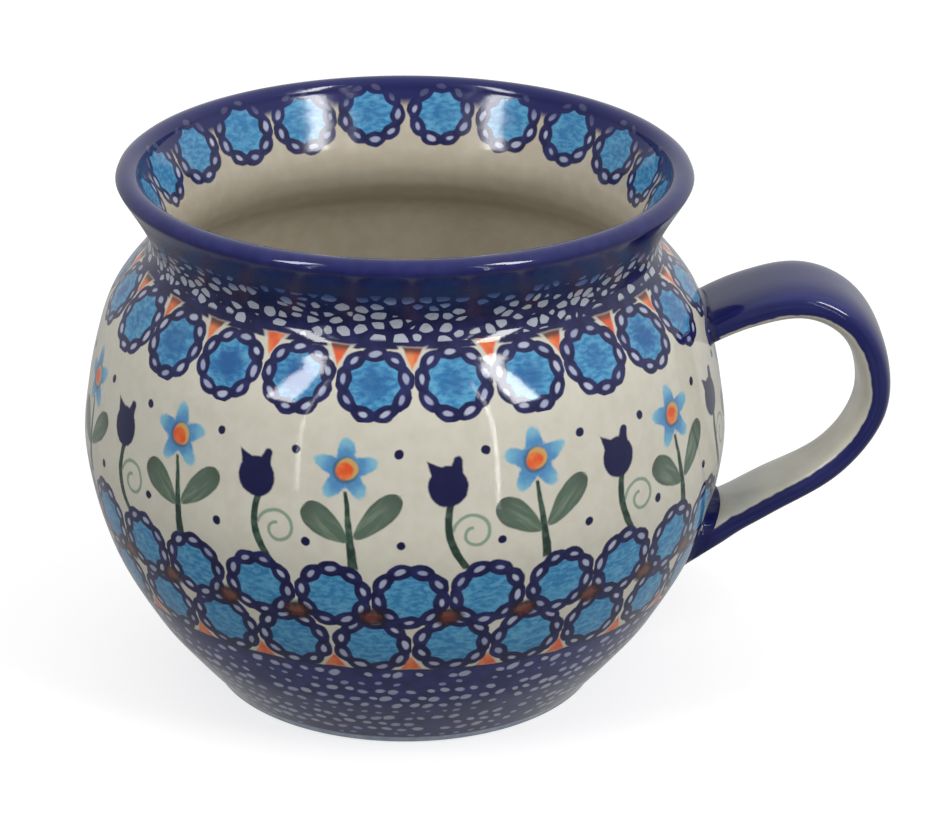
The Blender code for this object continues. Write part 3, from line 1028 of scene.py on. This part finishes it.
# Edges of the strap's cobalt in millimetres, from its middle surface and from its ends
STRAP_PAINT_EDGE = -0.9
STRAP_END_PAINT = 4.0
STRAP_STEPS_PER_SPAN = 16
STRAP_SECTION_POINTS = 72
STRAP_SECTION_POWER = 3.0
STRAP_EMBED = -0.0002
FILLET_LOOPS = 8
FILLET_RISE = 0.0022
FILLET_SPREAD = 0.0014
FILLET_TUCK = 0.0004
UPPER_DAB = 0.0026
LOWER_DAB = 0.0014
CLEAR_OF_WALL = 0.0006


def strap_size(share):
    """Return the strap's (width, thickness) at a share of its length, eased between stations."""
    for start, end in zip(STRAP_SIZES, STRAP_SIZES[1:]):
        if share <= end[0]:
            blend = (share - start[0]) / (end[0] - start[0])
            blend = blend * blend * (3.0 - 2.0 * blend)
            return tuple(a + (b - a) * blend for a, b in zip(start[1:], end[1:]))
    return STRAP_SIZES[-1][1:]


def rounded(turn_share, size):
    """Return a rounded rectangle's offset from its middle for the sine or cosine of a turn."""
    power = 2.0 / STRAP_SECTION_POWER
    return math.copysign(abs(turn_share) ** power, turn_share) * size / 2.0


def strap_loops():
    """Return the strap's section loops, the distance run at each, and its directions at the ends."""
    path = smooth_curve(STRAP_PATH, STRAP_STEPS_PER_SPAN)
    runs = [0.0]
    for first, second in zip(path, path[1:]):
        runs.append(runs[-1] + (second - first).length)
    loops, directions = [], []
    across = Vector((0.0, 1.0, 0.0))
    for i, station in enumerate(path):
        along = (path[min(i + 1, len(path) - 1)] - path[max(i - 1, 0)]).normalized()
        outward = Vector((-along.z, 0.0, along.x))
        width, thickness = strap_size(runs[i] / runs[-1])
        loop = []
        for j in range(STRAP_SECTION_POINTS):
            turn = math.tau * j / STRAP_SECTION_POINTS
            side = across * rounded(math.sin(turn), width)
            loop.append(station + side + outward * rounded(math.cos(turn), thickness))
        loops.append(loop)
        directions.append(along)
    return loops, runs, directions[0], directions[-1]


def face_heights(share):
    """Return how far each point of a section stands towards the outer face, in millimetres."""
    _, thickness = strap_size(share)
    turns = [math.tau * j / STRAP_SECTION_POINTS for j in range(STRAP_SECTION_POINTS)]
    return [rounded(math.cos(turn), thickness * MM) for turn in turns]


def lofted_piece(name, node, loops, closed_ends, material, layers=()):
    """Loft a tube through the loops. Layers are (name, one number for each point)."""
    vertices = [tuple(point) for loop in loops for point in loop]
    count = len(loops[0])
    polygons = []
    for low in range(0, len(vertices) - count, count):
        high = low + count
        for j in range(count):
            k = (j + 1) % count
            polygons.append((low + j, low + k, high + k, high + j))
    if closed_ends:
        polygons.append(tuple(range(count - 1, -1, -1)))
        polygons.append(tuple(range((len(loops) - 1) * count, len(loops) * count)))
    mesh = smooth_mesh(name, vertices, polygons, layers)
    mesh.materials.append(material)
    add_piece(name, mesh, node)


def paint_strap(length):
    """Return the strap's paint: cobalt outside and half way round its edges, cream inside."""
    paint = Paint("strap_glaze", HANDLE_ROUGHNESS)
    face = paint.attribute("strap_face")
    run = paint.attribute("strap_run")
    cloud, _ = paint.noise(260.0)
    fine, _ = paint.noise(1500.0)
    ragged, _ = paint.noise(500.0, detail=1.0)
    cream = paint.wash(cloud, 0.3, 0.8, 0.6, CREAM, CREAM_DEEP)
    streak = paint.brushed(run * 0.06, face * 1.3, 3.0)
    blue = paint.wash(streak, 0.35, 0.75, 0.55, RIM_COBALT, COBALT_WASH)
    blue = paint.wash(cloud, 0.45, 0.85, 0.35, blue, NAVY)
    lower = paint.ramp(run, length * 0.45, length * 0.75)
    level = face + (ragged - 0.5) * 0.5 + lower * 0.35
    edge = paint.ramp(level, STRAP_PAINT_EDGE - 0.2, STRAP_PAINT_EDGE + 0.1)
    run = run + (ragged - 0.5) * 2.0
    inner_end = STRAP_END_PAINT + 0.6
    start = paint.ramp(run, inner_end, STRAP_END_PAINT)
    end = paint.ramp(run, length - inner_end, length - STRAP_END_PAINT)
    colour = paint.blend(paint.most(edge, start, end), cream, blue)
    return paint.finish(colour, paint.glaze_bumps(STRAP_WAVES_PER_METRE, fine))


def paint_collar():
    """Return the cobalt brushed round the handle's joints."""
    paint = Paint("collar_glaze", HANDLE_ROUGHNESS)
    cloud, _ = paint.noise(300.0)
    colour = paint.wash(cloud, 0.4, 0.8, 0.5, RIM_COBALT, NAVY)
    return paint.finish(colour, [(cloud, 0.3, 0.0002)])


def collar(name, wall, loop, into_wall, dab):
    """Build the smooth fillet of slip between the strap's end and the wall."""
    down = Vector((0.0, 0.0, -1.0))
    middle = sum(loop, Vector()) / len(loop)
    loops = []
    for i in range(FILLET_LOOPS + 1):
        turn = math.pi / 2.0 * i / FILLET_LOOPS
        rise = FILLET_RISE * (1.0 - math.sin(turn)) + STRAP_EMBED * math.sin(turn)
        spread = FILLET_SPREAD * (1.0 - math.cos(turn)) - FILLET_TUCK
        ring = []
        for point in loop:
            out = (point - middle).normalized()
            facing = max(out.dot(down), 0.0) ** 3
            pull = dab * facing * (1.0 - math.cos(turn))
            ring.append(wall.seat(point + out * (spread + pull), into_wall, rise))
        loops.append(ring)
    lofted_piece(name + "_fillet", name, loops, False, paint_collar())


def build_handle(wall):
    """Build the strap and the two collars of slip that join it to the wall."""
    loops, runs, start_along, end_along = strap_loops()
    kept, face_values, run_values = [], [], []
    last = len(loops) - 1
    for i, loop in enumerate(loops):
        into_wall = -start_along if i == 0 else end_along
        if i in (0, last):
            loop = [wall.seat(point, into_wall, STRAP_EMBED) for point in loop]
        elif min(wall.clearance(point) for point in loop) < CLEAR_OF_WALL:
            continue
        kept.append(loop)
        face_values.extend(face_heights(runs[i] / runs[-1]))
        run_values.extend([runs[i] * MM] * len(loop))
    material = paint_strap(runs[-1] * MM)
    layers = (("strap_face", face_values), ("strap_run", run_values))
    lofted_piece("strap", "strap_handle", kept, True, material, layers)
    collar("upper_slip_joint", wall, loops[0], -start_along, UPPER_DAB)
    collar("lower_slip_joint", wall, loops[last], end_along, LOWER_DAB)


# ---------------- floor, light and camera

WHITE = (1.0, 1.0, 1.0, 1.0)
FLOOR_REACH = 6.0
FLOOR_GREY = 0.50
FLOOR_GLOW = 0.64

# Soft lights as (name, azimuth in degrees, distance, height of the base, width, height, watts)
SOFTBOXES = (
    ("left_softbox", -137.0, 0.80, 0.40, 0.14, 0.80, 5.0),
    ("right_softbox", -44.0, 0.80, 0.40, 0.14, 0.80, 6.2),
    ("left_strip", -123.5, 0.30, 0.02, 0.003, 0.34, 0.03),
    ("right_strip", -61.0, 0.30, 0.02, 0.003, 0.34, 0.05),
)

# The room's light as a product of fades: (axis, from, to, strength at from, strength at to)
WORLD_FADES = (
    (2, 0.0, 1.0, 0.62, 0.82),
    (2, -0.35, 0.0, 0.62, 1.0),
    (1, -1.0, 1.0, 0.37, 0.82),
    (0, -1.0, 1.0, 1.02, 1.70),
)

CAMERA_PLACE = (BODY_AXIS_X, -0.530, 0.2739)
CAMERA_DIP = 23.488
CAMERA_LENS = 131.7
CAMERA_SENSOR = 36.0
CAMERA_SHIFT = 0.0739
CAMERA_FAR = 20.0


def add_floor():
    """Add the plain pale floor."""
    mesh = bpy.data.meshes.new("floor")
    corners = [(x * FLOOR_REACH, y * FLOOR_REACH, 0.0) for x, y in ((-1, -1), (1, -1), (1, 1), (-1, 1))]
    mesh.from_pydata(corners, [], [(0, 1, 2, 3)])
    floor = add_object("floor", mesh)
    material = bpy.data.materials.new("floor_white")
    material.use_nodes = True
    shader = material.node_tree.nodes["Principled BSDF"]
    for key, value in (
        ("Base Color", (FLOOR_GREY, FLOOR_GREY, FLOOR_GREY, 1.0)),
        ("Roughness", 0.9),
        ("Specular IOR Level", 0.0),
        ("Emission Color", WHITE),
        ("Emission Strength", FLOOR_GLOW),
    ):
        shader.inputs[key].default_value = value
    mesh.materials.append(material)
    floor.visible_glossy = False
    floor.visible_diffuse = False


def add_softbox(name, azimuth, distance, base, width, height, power):
    """Add an upright rectangular soft light that faces the mug, like a tall window."""
    light = bpy.data.lights.new(name, "AREA")
    light.shape = "RECTANGLE"
    light.size = width
    light.size_y = height
    light.energy = power
    box = add_object(name, light)
    target = Vector((BODY_AXIS_X, 0.0, base + height / 2.0))
    angle = math.radians(azimuth)
    box.location = target + Vector((math.cos(angle) * distance, math.sin(angle) * distance, 0.0))
    box.visible_camera = False
    box.rotation_euler = (target - box.location).to_track_quat("-Z", "Y").to_euler()


def add_camera():
    """Add the camera at the photographed viewing angle."""
    data = bpy.data.cameras.new("camera")
    data.sensor_width = CAMERA_SENSOR
    data.lens = CAMERA_LENS
    data.shift_x = CAMERA_SHIFT
    data.clip_end = CAMERA_FAR
    camera = add_object("camera", data)
    camera.location = CAMERA_PLACE
    camera.rotation_euler = (math.radians(90.0 - CAMERA_DIP), 0.0, 0.0)
    bpy.context.scene.camera = camera


def add_world():
    """Light the room softly: brighter overhead, behind and on the right, dimmer in front and below."""
    world = bpy.data.worlds.new("studio")
    world.use_nodes = True
    room = Tree(world.node_tree)
    direction = room.node("ShaderNodeTexCoord").outputs["Generated"]
    split = room.node("ShaderNodeSeparateXYZ", {0: direction})
    strength = 1.0
    for axis, start, end, at_start, at_end in WORLD_FADES:
        span = {"From Min": start, "From Max": end, "To Min": at_start, "To Max": at_end}
        fade = room.node("ShaderNodeMapRange", {"Value": split.outputs[axis], **span})
        strength = room.math("MULTIPLY", strength, fade.outputs["Result"])
    background = world.node_tree.nodes["Background"]
    room.feed(background.inputs["Color"], WHITE)
    room.feed(background.inputs["Strength"], strength)
    bpy.context.scene.world = world


mug_outline = Outline()
build_wall(mug_outline)
build_handle(mug_outline)
add_floor()
for softbox in SOFTBOXES:
    add_softbox(*softbox)
add_camera()
add_world()
bpy.context.scene.view_settings.view_transform = "Standard"
